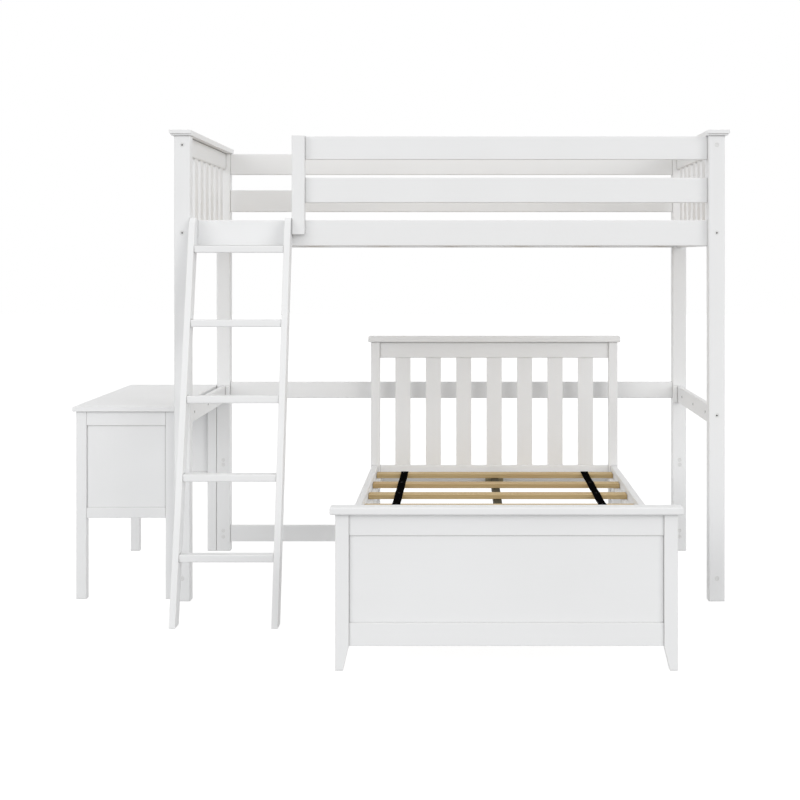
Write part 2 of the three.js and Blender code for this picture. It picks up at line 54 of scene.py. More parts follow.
# Camera: level, looking along +Y, with the picture shifted to the photograph's framing.
# Its place is measured from the middle of the loft's front face.
CAMERA_OFFSET = Vector((0.0496, -6.03, 1.279))
SENSOR_WIDTH = 36.0
FOCAL_LENGTH = 73.0
SHIFT_X = -0.0785
SHIFT_Y = -0.1783
# The pitch of a camera or a lamp that looks level.
LEVEL = math.radians(90)

# Floor
FLOOR_SIZE = 60.0
FLOOR_DROP = 0.5 * MM
# The light that the floor sends up to the bed: the floor glows with it for all rays but camera,
# mirror and glass rays, so it lights the bed evenly from below, also in the bed's shadow.
FLOOR_BOUNCE = 0.45
# The floor as it is seen: a part that takes the bed's shadow, and a glow that makes it pale.
FLOOR_SHADE = 0.3
FLOOR_GLOW = 0.84

# Light
WHITE = (1, 1, 1, 1)
AMBIENT_STRENGTH = 0.8
BACKDROP_STRENGTH = 1.0
# Two soft lamps from in front: the strength, the height and the turn to the right of each.
RIGHT_LAMP = (0.21, math.radians(16), math.radians(40))
LEFT_LAMP = (0.175, math.radians(16), math.radians(-37))
LAMP_SOFTNESS = math.radians(34)

# Finishes: a name that ends in DRAW is how far a pattern is drawn out along the grain, and one
# that ends in SPAN is the part of a pattern's values that a change is spread over.
NOISE_SPAN = (0.3, 0.7)

# White paint
PAINT_IOR = 1.5
PAINT_TONES = ((0.85, 0.854, 0.858, 1), (0.872, 0.877, 0.882, 1))
PAINT_WORN = (0.85, 0.84, 0.815, 1)
PAINT_JOINT_SHADE = (0.2, 0.195, 0.185, 1)
PAINT_FIBRE = 3.2 * MM
PAINT_FIBRE_DRAW = 40
PAINT_FIBRE_DEPTH = 0.015 * MM
PAINT_FIBRE_SHARE = 0.2
PAINT_CLOUD = 350 * MM
PAINT_PEEL = 2.4 * MM
PAINT_PEEL_DEPTH = 0.02 * MM
PAINT_SMEAR = 22 * MM
PAINT_ROUGHNESS = (0.4, 0.52)
WORN_REACH = 2.5 * MM
WORN_POLISH = 0.12
WORN_SPAN = (0.8, 0.99)
WORN_SAMPLES = 2

# Painted shade in the joints and inner corners of the painted boards: the paint turns grey where
# other faces are near
JOINT_REACH = 7 * MM
JOINT_DARKNESS = 0.4
JOINT_SPAN = (0.4, 0.9)
JOINT_SAMPLES = 6

# Bare pine
PINE_ROUGHNESS = 0.62
PINE_GLOSS = 0.22
PINE_EARLY_WOOD = (0.66, 0.5, 0.265, 1)
PINE_LATE_WOOD = (0.47, 0.3, 0.12, 1)
RING_SCALE = 62
RING_DRAW = 40
RING_WAVER = 5
RING_WAVER_SCALE = 0.35
RING_SHARPNESS = 2.2
RING_DEPTH = 0.08 * MM
RING_FIBRE_SHARE = 0.7
DRIFT = 60 * MM
DRIFT_DRAW = 14
DRIFT_REACH = 30
PINE_FIBRE = 1.1 * MM
PINE_FIBRE_DRAW = 60
PINE_FIBRE_DEPTH = 0.12 * MM
PINE_WARM = (0.54, 0.325, 0.145, 1)
WARM_PATCH = 110 * MM
WARM_DRAW = 3
WARM_SHARE = 0.55
WARM_SPAN = (0.52, 0.75)
PINE_KNOT = (0.17, 0.075, 0.03, 1)
KNOT_SCALE = 7.5
KNOT_DRAW = 1.7
KNOT_SHARE = 0.7
KNOT_SPAN = (0.02, 0.05)
PINE_PALE = (0.8, 0.68, 0.42, 1)
PALE_SHARE = 0.35
PALE_SPAN = (0.5, 0.8)
PINE_SAWN_AND_SHADE = (0.27, 0.19, 0.085, 1)
SAWN_AND_SHADE_SHARE = 0.4
SAWN_AND_SHADE_SPAN = (0.25, 0.75)

# Black webbing
WEBBING_ROUGHNESS = 0.9
WEBBING_TONES = ((0.001, 0.001, 0.0011, 1), (0.006, 0.0058, 0.0064, 1))
WEBBING_DEPTH = 0.25 * MM
WEBBING_COLUMN = 2.6 * MM
STITCH_PITCH = 1.7 * MM
STITCH_SLANT = 1.5 * MM
STITCH_LOW = 0.45
FUZZ = 0.5 * MM
FUZZ_SHARE = 0.25

# Powder coat of the centre rail and of its bracket: the rail's copy is darkened as painted shade, and
# the bracket's copy is lightened as painted light
STEEL_GLOSS = 0.03
STEEL_ROUGHNESS = (0.48, 0.62)
STEEL_TONES = ((0.115, 0.103, 0.066), (0.165, 0.15, 0.105))
STEEL_DUST = (0.2, 0.19, 0.15)
STEEL_PEBBLE = 1.3 * MM
STEEL_PEBBLE_DEPTH = 0.05 * MM
STEEL_PATCH = 40 * MM
STEEL_DUST_SHARE = 0.3
STEEL_DUST_SPAN = (0.35, 0.6)
RAIL_PAINTED_SHADE = 0.5
BRACKET_PAINTED_LIGHT = 2.6

# White enamel of the bolt heads
ENAMEL_TONE = (0.8, 0.802, 0.8, 1)
ENAMEL_CHIP = (0.42, 0.42, 0.42, 1)
ENAMEL_ROUGHNESS = (0.28, 0.5)
CHIP = 0.7 * MM
CHIP_SPAN = (0.66, 0.72)
RIPPLE = 1.5 * MM
RIPPLE_DEPTH = 0.02 * MM

# Blackened steel of the sockets, staples and inserts
BLACK_GLOSS = 0.2
BLACK_TONES = ((0.008, 0.008, 0.009, 1), (0.028, 0.027, 0.026, 1))
BLACK_ROUGHNESS = (0.42, 0.6)
BLACK_MARK = 0.8 * MM
BLACK_MARK_DRAW = 5
BLACK_MARK_DEPTH = 0.01 * MM

# Edges of the boards and posts
EDGE_ROUND = 1.4 * MM
EDGE_STEPS = 2
WELD_REACH = 0.02 * MM
FLAT_ANGLE = math.radians(1)
SHARP_ANGLE = math.radians(40)
SMOOTH_ANGLE = math.radians(35)

# Slats and straps
SLAT_WIDTH = 72 * MM
SLAT_THICKNESS = 18 * MM
SLAT_ROUND = 2.5 * MM
SLAT_ROUND_STEPS = 3
LOFT_SLATS = 7
STRAP_WIDTH = 31 * MM
STRAP_THICKNESS = 1.6 * MM
STRAP_SPREAD = 766 * MM
STRAP_INSET = 12 * MM
STRAP_SAG = 2.5 * MM
STRAP_SAG_STEPS = 12
STRAP_FOLD = 26 * MM
STRAP_TURN = 0.6 * STRAP_THICKNESS
STRAP_TURN_STEPS = 8
STRAP_SEAT = 0.1 * MM
STAPLE_CROWN = 11 * MM
STAPLE_LEG = 5 * MM
STAPLE_WIRE = (1.1 * MM, 0.6 * MM)
STAPLE_PLACES = (-8 * MM, 8 * MM)

# Bolts: heights are above the floor, the rise is from the tie rail's middle, the drop is from the
# post's top, and a spread is between the two bolts of a pair.
BOLT_RADIUS = 7.2 * MM
BOLT_HEIGHT = 2.2 * MM
BOLT_FLOOR = 2.5 * MM
BOLT_CHAMFER = 0.5 * MM
SOCKET_RADIUS = 3 * MM
SOCKET_DEPTH = 2 * MM
SOCKET_SIDES = 6
ROUND_SIDES = 24
LOW_BOLT = 85 * MM
TIE_BOLT_RISE = 7 * MM
TOP_BOLT_DROP = 35 * MM
TIE_BOLT_SPREAD = 26.5 * MM
SPARE_BOLT_HEIGHT = 386 * MM
SPARE_BOLT_SPREAD = 21 * MM

# Threaded inserts in the end tie rails
INSERT_RADIUS = 5.7 * MM
INSERT_DEPTH = 11.6 * MM
INSERT_PITCH = 331 * MM
INSERT_WALL = 1.1 * MM
INSERT_LIP = 0.1 * MM
INSERT_LIP_DROP = 0.3 * MM

# Screw covers on the ladder
COVER_RADIUS = 6 * MM
COVER_HEIGHT = 0.9 * MM
COVER_STEPS = 5
COVER_SPREAD = 26 * MM


def loft_front_middle():
    """The middle of the loft's front face, at the floor."""
    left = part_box("loft_post_front_left")[0]
    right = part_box("loft_post_front_right")[1]
    return Vector(((left[0] + right[0]) / 2, left[1], 0))


def make_camera():
    data = bpy.data.cameras.new("camera")
    data.sensor_width = SENSOR_WIDTH
    data.lens = FOCAL_LENGTH
    data.shift_x = SHIFT_X
    data.shift_y = SHIFT_Y
    data.clip_end = 2 * FLOOR_SIZE
    camera = bpy.data.objects.new("camera", data)
    camera.location = loft_front_middle() + CAMERA_OFFSET
    camera.rotation_euler = (LEVEL, 0, 0)
    scene.collection.objects.link(camera)
    scene.camera = camera


# Node helpers


class Nodes:
    """A material's or world's node tree, with short ways to add and join its nodes."""

    def __init__(self, owner):
        owner.use_nodes = True
        self.tree = owner.node_tree
        self.tree.nodes.clear()

    def add(self, kind, inputs=None, **settings):
        node = self.tree.nodes.new("ShaderNode" + kind)
        for name, value in settings.items():
            setattr(node, name, value)
        for socket, value in (inputs or {}).items():
            self.put(node.inputs[socket], value)
        return node

    def put(self, socket, value):
        """Joins a socket to an output, or sets its value."""
        if isinstance(value, bpy.types.NodeSocket):
            self.tree.links.new(value, socket)
        else:
            socket.default_value = value

    def math(self, operation, *values):
        node = self.add("Math", operation=operation)
        for socket, value in zip(node.inputs, values):
            self.put(socket, value)
        return node.outputs[0]

    def mix(self, share, first, second):
        """A blend of two colours, whose sockets are the node's seventh and eighth."""
        node = self.add("Mix", {0: share, 6: first, 7: second}, data_type="RGBA")
        return node.outputs[2]

    def mix_shaders(self, share, first, second):
        return self.add("MixShader", {0: share, 1: first, 2: second}).outputs[0]

    def place(self, pull=(1, 1, 1)):
        """The piece's own coordinates, drawn out by a factor along each axis."""
        place = self.add("TexCoord").outputs["Object"]
        if tuple(pull) == (1, 1, 1):
            return place
        scale = [1 / factor for factor in pull]
        return self.add("Mapping", {"Vector": place, "Scale": scale}).outputs[0]

    def noise(self, place, size, detail=2.0):
        """Soft noise from 0 to 1, whose patches are about one size across."""
        return self.add("TexNoise", {"Vector": place, "Scale": 1 / size, "Detail": detail}).outputs[0]

    def ramp(self, value, low, high, span=(0.0, 1.0)):
        """A value within a span, carried to the range from low to high."""
        start, end = span
        inputs = {"Value": value, "From Min": start, "From Max": end, "To Min": low, "To Max": high}
        return self.add("MapRange", inputs).outputs[0]

    def bump(self, height, distance, below=None):
        """A bump of a real depth, laid over another one."""
        node = self.add("Bump", {"Height": height, "Distance": distance, "Strength": 1.0})
        if below is not None:
            self.put(node.inputs["Normal"], below)
        return node.outputs[0]


def drawn_along(axis, factor):
    """The pull that draws a pattern out along one axis."""
    return [factor if name == axis else 1 for name in "xyz"]


def surface(name, **settings):
    """A new material with one shader: the material, its node tree and the shader's sockets."""
    material = bpy.data.materials.new(name)
    tree = Nodes(material)
    shader = tree.add("BsdfPrincipled")
    for socket, value in settings.items():
        shader.inputs[socket.replace("_", " ")].default_value = value
    tree.add("OutputMaterial", {"Surface": shader.outputs[0]})
    return material, tree, shader.inputs


# Stage


def seen_directly(tree):
    """1 for rays from the camera and for mirror and glass rays, 0 for the rest."""
    path = tree.add("LightPath")
    first = tree.math("MAXIMUM", path.outputs["Is Camera Ray"], path.outputs["Is Glossy Ray"])
    return tree.math("MAXIMUM", first, path.outputs["Is Transmission Ray"])


def make_world():
    world = bpy.data.worlds.new("world")
    scene.world = world
    tree = Nodes(world)
    soft = tree.add("Background", {"Color": WHITE, "Strength": AMBIENT_STRENGTH}).outputs[0]
    shown = tree.add("Background", {"Color": WHITE, "Strength": BACKDROP_STRENGTH}).outputs[0]
    mixed = tree.mix_shaders(seen_directly(tree), soft, shown)
    tree.add("OutputWorld", {"Surface": mixed})


def floor_material():
    material = bpy.data.materials.new("floor")
    tree = Nodes(material)
    upward_glow = tree.add("Emission", {"Color": WHITE, "Strength": FLOOR_BOUNCE}).outputs[0]
    pale = tree.add("BsdfDiffuse", {"Color": (FLOOR_SHADE, FLOOR_SHADE, FLOOR_SHADE, 1)}).outputs[0]
    glow = tree.add("Emission", {"Color": WHITE, "Strength": FLOOR_GLOW}).outputs[0]
    shown = tree.add("AddShader", {0: pale, 1: glow}).outputs[0]
    mixed = tree.mix_shaders(seen_directly(tree), upward_glow, shown)
    tree.add("OutputMaterial", {"Surface": mixed})
    return material


def make_floor():
    mesh = bpy.data.meshes.new("floor")
    half = FLOOR_SIZE / 2
    sides = ((-half, -half), (half, -half), (half, half), (-half, half))
    mesh.from_pydata([(x, y, -FLOOR_DROP) for x, y in sides], [], [(0, 1, 2, 3)])
    mesh.materials.append(floor_material())
    floor = bpy.data.objects.new("floor", mesh)
    scene.collection.objects.link(floor)


def make_lamp(name, lamp):
    """A very soft lamp from in front, which reaches the back of the bed as it does the front."""
    strength, height, turn = lamp
    data = bpy.data.lights.new(name, "SUN")
    data.energy = strength * math.pi
    data.angle = LAMP_SOFTNESS
    light = bpy.data.objects.new(name, data)
    light.rotation_euler = (LEVEL - height, 0, turn)
    scene.collection.objects.link(light)


# Finishes


def worn_share(tree, reach):
    """0 on flat faces, rising to 1 along worn edges."""
    rounded = tree.add("Bevel", {"Radius": reach}, samples=WORN_SAMPLES).outputs[0]
    plain = tree.add("NewGeometry").outputs["Normal"]
    turned = tree.add("VectorMath", {0: rounded, 1: plain}, operation="DOT_PRODUCT").outputs["Value"]
    return tree.ramp(turned, 1, 0, WORN_SPAN)


def joint_shade_share(tree, reach):
    """0 on open faces, rising to 1 in the joints and inner corners, where shade falls: it marks
    painted shade.
    """
    open_share = tree.add("AmbientOcclusion", {"Distance": reach}, samples=JOINT_SAMPLES)
    return tree.ramp(open_share.outputs["AO"], 1, 0, JOINT_SPAN)


def white_paint(name, grain):
    """Satin white paint, with a trace of the wood's grain and of the brush in it, and painted shade
    in its joints and inner corners.
    """
    material, tree, shader = surface(name, IOR=PAINT_IOR)
    place = tree.place()
    fibres = tree.noise(tree.place(drawn_along(grain, PAINT_FIBRE_DRAW)), PAINT_FIBRE, detail=5)
    clouds = tree.math("MULTIPLY", tree.noise(place, PAINT_CLOUD), 1 - PAINT_FIBRE_SHARE)
    tone = tree.math("MULTIPLY_ADD", fibres, PAINT_FIBRE_SHARE, clouds)
    worn = worn_share(tree, WORN_REACH)
    # Painted shade: the colour is darkened towards grey in joints and inner corners, where other
    # faces are near.
    dust_and_shade = tree.math("MULTIPLY", joint_shade_share(tree, JOINT_REACH), JOINT_DARKNESS)
    colour = tree.mix(tree.ramp(tone, 0, 1, NOISE_SPAN), *PAINT_TONES)
    colour = tree.mix(worn, colour, PAINT_WORN)
    tree.put(shader["Base Color"], tree.mix(dust_and_shade, colour, PAINT_JOINT_SHADE))
    smears = tree.noise(place, PAINT_SMEAR, detail=3)
    dull = tree.ramp(smears, *PAINT_ROUGHNESS, NOISE_SPAN)
    tree.put(shader["Roughness"], tree.math("MULTIPLY_ADD", worn, -WORN_POLISH, dull))
    peel = tree.noise(place, PAINT_PEEL, detail=1)
    grain_bump = tree.bump(fibres, PAINT_FIBRE_DEPTH)
    tree.put(shader["Normal"], tree.bump(peel, PAINT_PEEL_DEPTH, grain_bump))
    return material


def growth_lines(tree, grain):
    """The wood's growth rings, cut lengthwise, so that they run along the board and drift."""
    drift = tree.noise(tree.place(drawn_along(grain, DRIFT_DRAW)), DRIFT)
    inputs = {
        "Vector": tree.place(drawn_along(grain, RING_DRAW)),
        "Scale": RING_SCALE,
        "Distortion": RING_WAVER,
        "Detail": 2,
        "Detail Scale": RING_WAVER_SCALE,
        "Phase Offset": tree.math("MULTIPLY", drift, DRIFT_REACH),
    }
    pattern = {"wave_type": "BANDS", "bands_direction": "DIAGONAL", "wave_profile": "SAW"}
    return tree.add("TexWave", inputs, **pattern).outputs[1]


def knot_share(tree, grain):
    """0 on clear wood, rising to 1 in a few small knots."""
    place = tree.place(drawn_along(grain, KNOT_DRAW))
    knots = tree.add("TexVoronoi", {"Vector": place, "Scale": KNOT_SCALE, "Randomness": 1.0})
    return tree.ramp(knots.outputs["Distance"], 1, 0, KNOT_SPAN)


def bare_pine(name, grain):
    """Planed pine: growth lines and fibres along the board, slow changes of hue and some knots.

    The boards lie flat, and their narrow faces are darker: partly the sawn edge grain, partly painted
    shade for faces that get less light than the tops.
    """
    material, tree, shader = surface(name, Roughness=PINE_ROUGHNESS, Specular_IOR_Level=PINE_GLOSS)
    fibres = tree.noise(tree.place(drawn_along(grain, PINE_FIBRE_DRAW)), PINE_FIBRE, detail=4)
    late = tree.math("MULTIPLY", growth_lines(tree, grain), tree.ramp(fibres, RING_FIBRE_SHARE, 1))
    wood = tree.mix(tree.math("POWER", late, RING_SHARPNESS), PINE_EARLY_WOOD, PINE_LATE_WOOD)
    patches = tree.noise(tree.place(drawn_along(grain, WARM_DRAW)), WARM_PATCH)
    wood = tree.mix(tree.ramp(patches, 0, WARM_SHARE, WARM_SPAN), wood, PINE_WARM)
    wood = tree.mix(tree.math("MULTIPLY", knot_share(tree, grain), KNOT_SHARE), wood, PINE_KNOT)
    wood = tree.mix(tree.ramp(fibres, 0, PALE_SHARE, PALE_SPAN), wood, PINE_PALE)
    # Faces that are not tops or bottoms turn darker: partly sawn edge grain, partly painted shade.
    upward = tree.add("SeparateXYZ", {0: tree.add("NewGeometry").outputs["Normal"]}).outputs["Z"]
    narrow = tree.ramp(tree.math("ABSOLUTE", upward), 1, 0, SAWN_AND_SHADE_SPAN)
    wood = tree.mix(tree.math("MULTIPLY", narrow, SAWN_AND_SHADE_SHARE), wood, PINE_SAWN_AND_SHADE)
    tree.put(shader["Base Color"], wood)
    fibre_bump = tree.bump(fibres, PINE_FIBRE_DEPTH)
    tree.put(shader["Normal"], tree.bump(late, RING_DEPTH, fibre_bump))
    return material


def black_webbing(name, along):
    """Flat woven strap: narrow columns along it, crossed by short slanted stitches."""
    material, tree, shader = surface(name, Roughness=WEBBING_ROUGHNESS, Specular_IOR_Level=0.0)
    turn = 2 * math.pi
    split = tree.add("SeparateXYZ", {0: tree.place()}).outputs
    length, across = (split["X"], split["Y"]) if along == "x" else (split["Y"], split["X"])
    column = tree.math("SINE", tree.math("MULTIPLY", across, turn / WEBBING_COLUMN))
    ridge = tree.math("ABSOLUTE", column)
    side = tree.math("SIGN", column)
    slant = tree.math("MULTIPLY", tree.math("MULTIPLY", across, side), turn / STITCH_SLANT)
    stitch = tree.math("SINE", tree.math("MULTIPLY_ADD", length, turn / STITCH_PITCH, slant))
    weave = tree.math("MULTIPLY", ridge, tree.ramp(stitch, STITCH_LOW, 1, (-1, 1)))
    fuzz = tree.noise(tree.place(), FUZZ, detail=1)
    height = tree.math("MULTIPLY_ADD", fuzz, FUZZ_SHARE, weave)
    tree.put(shader["Base Color"], tree.mix(weave, *WEBBING_TONES))
    tree.put(shader["Normal"], tree.bump(height, WEBBING_DEPTH))
    return material


def shaded(tone, shade):
    """A colour made lighter or darker by a factor."""
    return tuple(shade * part for part in tone) + (1,)


def dark_steel(name, shade):
    """Grey-green powder coat, finely pebbled, with dust in the low spots."""
    material, tree, shader = surface(name, Specular_IOR_Level=STEEL_GLOSS)
    pebbles = tree.noise(tree.place(), STEEL_PEBBLE)
    patches = tree.noise(tree.place(), STEEL_PATCH, detail=3)
    # The factor scales the whole coat's colour: painted shade where it is below 1, painted light
    # where it is above 1.
    coat = tree.mix(patches, *[shaded(tone, shade) for tone in STEEL_TONES])
    dust_and_shade = tree.ramp(pebbles, STEEL_DUST_SHARE, 0, STEEL_DUST_SPAN)
    tree.put(shader["Base Color"], tree.mix(dust_and_shade, coat, shaded(STEEL_DUST, shade)))
    tree.put(shader["Roughness"], tree.ramp(patches, *STEEL_ROUGHNESS))
    tree.put(shader["Normal"], tree.bump(pebbles, STEEL_PEBBLE_DEPTH))
    return material


def white_enamel():
    """Smooth white enamel on steel, a little chipped to grey in places."""
    material, tree, shader = surface("white_enamel")
    chips = tree.ramp(tree.noise(tree.place(), CHIP, detail=3), 0, 1, CHIP_SPAN)
    ripple = tree.noise(tree.place(), RIPPLE, detail=1)
    tree.put(shader["Base Color"], tree.mix(chips, ENAMEL_TONE, ENAMEL_CHIP))
    tree.put(shader["Roughness"], tree.ramp(chips, *ENAMEL_ROUGHNESS))
    tree.put(shader["Normal"], tree.bump(ripple, RIPPLE_DEPTH))
    return material


def black_steel():
    """Blackened steel with fine rubbed marks."""
    material, tree, shader = surface("black_steel", Specular_IOR_Level=BLACK_GLOSS)
    marks = tree.noise(tree.place(drawn_along("z", BLACK_MARK_DRAW)), BLACK_MARK, detail=3)
    tree.put(shader["Base Color"], tree.mix(marks, *BLACK_TONES))
    tree.put(shader["Roughness"], tree.ramp(marks, *BLACK_ROUGHNESS))
    tree.put(shader["Normal"], tree.bump(marks, BLACK_MARK_DEPTH))
    return material


FINISHES = {
    "paint_x": white_paint("white_paint_x", "x"),
    "paint_y": white_paint("white_paint_y", "y"),
    "paint_z": white_paint("white_paint_z", "z"),
    "pine_x": bare_pine("pine_x", "x"),
    "pine_y": bare_pine("pine_y", "y"),
    "webbing_x": black_webbing("webbing_x", "x"),
    "webbing_y": black_webbing("webbing_y", "y"),
    "dark_steel": dark_steel("dark_steel", RAIL_PAINTED_SHADE),
    "bracket_steel": dark_steel("bracket_steel", BRACKET_PAINTED_LIGHT),
    "enamel": white_enamel(),
    "black_steel": black_steel(),
}


# Pieces of the frame

SLOT_OF = {piece["node"]: piece["material_slot"] for piece in frame["record"]["subparts"]}
GRAINED = {"white_paint": "paint", "pine": "pine", "webbing": "webbing"}


def longest_axis(node):
    low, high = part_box(node)
    size = high - low
    return "xyz"[max(range(3), key=lambda axis: size[axis])]


def finish_of(node):
    """The finish of a CAD node, its grain along the board."""
    slot = SLOT_OF[node]
    if node == "centre_bracket":
        return FINISHES["bracket_steel"]
    if slot not in GRAINED:
        return FINISHES[slot]
    return FINISHES[f"{GRAINED[slot]}_{longest_axis(node)}"]


def ease_edges(piece):
    """Joins a CAD node's faces, rounds what is left sharp and shades the rest smoothly."""
    weld = piece.modifiers.new("weld", "WELD")
    weld.merge_threshold = WELD_REACH
    flat = piece.modifiers.new("flat", "DECIMATE")
    flat.decimate_type = "DISSOLVE"
    flat.angle_limit = FLAT_ANGLE
    bevel = piece.modifiers.new("bevel", "BEVEL")
    bevel.limit_method = "ANGLE"
    bevel.angle_limit = SHARP_ANGLE
    bevel.width = EDGE_ROUND
    bevel.segments = EDGE_STEPS
    piece.data.polygons.foreach_set("use_smooth", [True] * len(piece.data.polygons))
    piece.modifiers.new("normals", "WEIGHTED_NORMAL")


def dress_nodes():
    for name, piece in nodes.items():
        piece.data.materials.clear()
        piece.data.materials.append(finish_of(name))
        ease_edges(piece)


# Pieces made here


def add_piece(name, mesh, body, finishes, replaced=()):
    """A built mesh as a piece of the object, shaded smoothly across its soft edges."""
    data = bpy.data.meshes.new(name)
    for finish in finishes:
        data.materials.append(finish)
    mesh.to_mesh(data)
    mesh.free()
    data.polygons.foreach_set("use_smooth", [True] * len(data.polygons))
    data.set_sharp_from_angle(angle=SMOOTH_ANGLE)
    piece = bpy.data.objects.new(name, data)
    scene.collection.objects.link(piece)
    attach(piece, body)
    if replaced:
        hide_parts(*replaced)


def skin(mesh, rings, material=0, closed_start=True, closed_end=True):
    """Faces between rings of points, each ring with as many points as the next."""
    loops = [[mesh.verts.new(point) for point in ring] for ring in rings]
    count = len(loops[0])
    faces = []
    for lower, upper in zip(loops, loops[1:]):
        for index in range(count):
            after = (index + 1) % count
            faces.append(mesh.faces.new((lower[index], lower[after], upper[after], upper[index])))
    if closed_start:
        faces.append(mesh.faces.new(list(reversed(loops[0]))))
    if closed_end:
        faces.append(mesh.faces.new(loops[-1]))
    for face in faces:
        face.material_index = material


def rounded_ring(half_width, half_height, radius):
    """A rectangle's outline about its middle with rounded corners."""
    ring = []
    for quarter, (across, up) in enumerate(((1, 1), (-1, 1), (-1, -1), (1, -1))):
        for step in range(SLAT_ROUND_STEPS + 1):
            angle = (quarter + step / SLAT_ROUND_STEPS) * math.pi / 2
            x = across * (half_width - radius) + radius * math.cos(angle)
            y = up * (half_height - radius) + radius * math.sin(angle)
            ring.append((x, y))
    return ring


def board_mesh(low, high, along, radius):
    """A board with rounded long edges and eased ends."""
    axis = "xyz".index(along)
    across, up = (axis + 1) % 3, (axis + 2) % 3
    middle = (low + high) / 2
    half = (high - low) / 2
    ease = radius / 2
    rings = []
    stations = ((low[axis], ease), (low[axis] + ease, 0), (high[axis] - ease, 0), (high[axis], ease))
    for place, inset in stations:
        ring = []
        for x, y in rounded_ring(half[across] - inset, half[up] - inset, radius):
            point = [0, 0, 0]
            point[axis] = place
            point[across] = middle[across] + x
            point[up] = middle[up] + y
            ring.append(point)
        rings.append(ring)
    mesh = bmesh.new()
    skin(mesh, rings)
    return mesh


def course_frames(course):
    """Each point of a flat course, with the direction square to the course there."""
    points = [Vector(point) for point in course]
    for index, point in enumerate(points):
        before = points[max(index - 1, 0)]
        after = points[min(index + 1, len(points) - 1)]
        heading = (after - before).normalized()
        yield point, Vector((-heading.y, heading.x))


def on_plan(along, length, across):
    """A place along a strap and across it, as X and Y."""
    return (length, across) if along == "x" else (across, length)


def strap_path(spans, top):
    """The middle line of a strap over its slats: folded back at both ends, sagging in between.

    Points are (place along the strap, height). Spans are the slats' two edges along it.
    """
    lie = top + STRAP_SEAT + STRAP_THICKNESS / 2
    start = spans[0][0] + STRAP_INSET + STRAP_TURN
    end = spans[-1][1] - STRAP_INSET - STRAP_TURN
    fold = []
    for step in range(STRAP_TURN_STEPS + 1):
        angle = math.pi / 2 + math.pi * step / STRAP_TURN_STEPS
        fold.append((STRAP_TURN * math.cos(angle), STRAP_TURN * math.sin(angle)))
    path = [(start + STRAP_FOLD, lie + 2 * STRAP_TURN)]
    path += [(start + x, lie + STRAP_TURN + z) for x, z in fold]
    for (_, near), (far, _) in zip(spans, spans[1:]):
        path.append((near - SLAT_ROUND / 2, lie))
        for step in range(1, STRAP_SAG_STEPS):
            share = step / STRAP_SAG_STEPS
            path.append((near + share * (far - near), lie - 4 * STRAP_SAG * share * (1 - share)))
        path.append((far + SLAT_ROUND / 2, lie))
    path += [(end - x, lie + STRAP_TURN + z) for x, z in reversed(fold)]
    path.append((end - STRAP_FOLD, lie + 2 * STRAP_TURN))
    return path


def strap_mesh(spans, top, middle, along):
    """A flat band that follows its path over the slats."""
    half_width, half_thickness = STRAP_WIDTH / 2, STRAP_THICKNESS / 2
    lip = half_thickness
    section = (
        (half_width, 0),
        (half_width - lip, half_thickness),
        (-half_width + lip, half_thickness),
        (-half_width, 0),
        (-half_width + lip, -half_thickness),
        (half_width - lip, -half_thickness),
    )
    rings = []
    for point, normal in course_frames(strap_path(spans, top)):
        ring = []
        for side, rise in section:
            where = point + rise * normal
            ring.append((*on_plan(along, where.x, middle + side), where.y))
        rings.append(ring)
    mesh = bmesh.new()
    skin(mesh, rings)
    bmesh.ops.recalc_face_normals(mesh, faces=mesh.faces)
    return mesh


def add_staple(mesh, centre, along):
    """A staple's crown lies across the strap, and its legs go down through it into the slat."""
    half = STAPLE_CROWN / 2
    width, thickness = STAPLE_WIRE
    corner = thickness
    course = [(-half, -STAPLE_LEG), (-half, -corner), (-half + corner, 0)]
    course += [(-x, z) for x, z in reversed(course)]
    rings = []
    for point, normal in course_frames(course):
        ring = []
        for depth, lift in ((-1, -1), (1, -1), (1, 1), (-1, 1)):
            where = point + lift * thickness / 2 * normal
            x, y = on_plan(along, depth * width / 2, where.x)
            ring.append(centre + Vector((x, y, where.y)))
        rings.append(ring)
    skin(mesh, rings)


def staples_mesh(spans, top, middles, along):
    """Two staples where each strap crosses each slat. On the end slats they hold its folded ends."""
    mesh = bmesh.new()
    lie = top + STRAP_SEAT + STRAP_THICKNESS + STAPLE_WIRE[1] / 2
    for middle in middles:
        for index, (near, far) in enumerate(spans):
            folded = index in (0, len(spans) - 1)
            height = lie + (2 * STRAP_TURN if folded else 0)
            for shift in STAPLE_PLACES:
                place = (near + far) / 2 + shift
                add_staple(mesh, Vector((*on_plan(along, place, middle), height)), along)
    bmesh.ops.recalc_face_normals(mesh, faces=mesh.faces)
    return mesh


def count_nodes(start):
    return sum(1 for name in nodes if name.startswith(start))


def make_lower_straps():
    """The straps over the lower bed's slats, from the footboard's end to the headboard's."""
    boxes = [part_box(f"bed_slat_{index + 1}") for index in range(count_nodes("bed_slat_"))]
    spans = sorted((low.y, high.y) for low, high in boxes)
    top = boxes[0][1].z
    middles = []
    for side in ("left", "right"):
        low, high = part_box(f"slat_strap_{side}")
        middle = (low.x + high.x) / 2
        middles.append(middle)
        mesh = strap_mesh(spans, top, middle, "y")
        finish = FINISHES["webbing_y"]
        add_piece(f"strap_{side}", mesh, "lower_bed", [finish], [f"slat_strap_{side}"])
    mesh = staples_mesh(spans, top, middles, "y")
    add_piece("lower_strap_staples", mesh, "lower_bed", [FINISHES["black_steel"]])


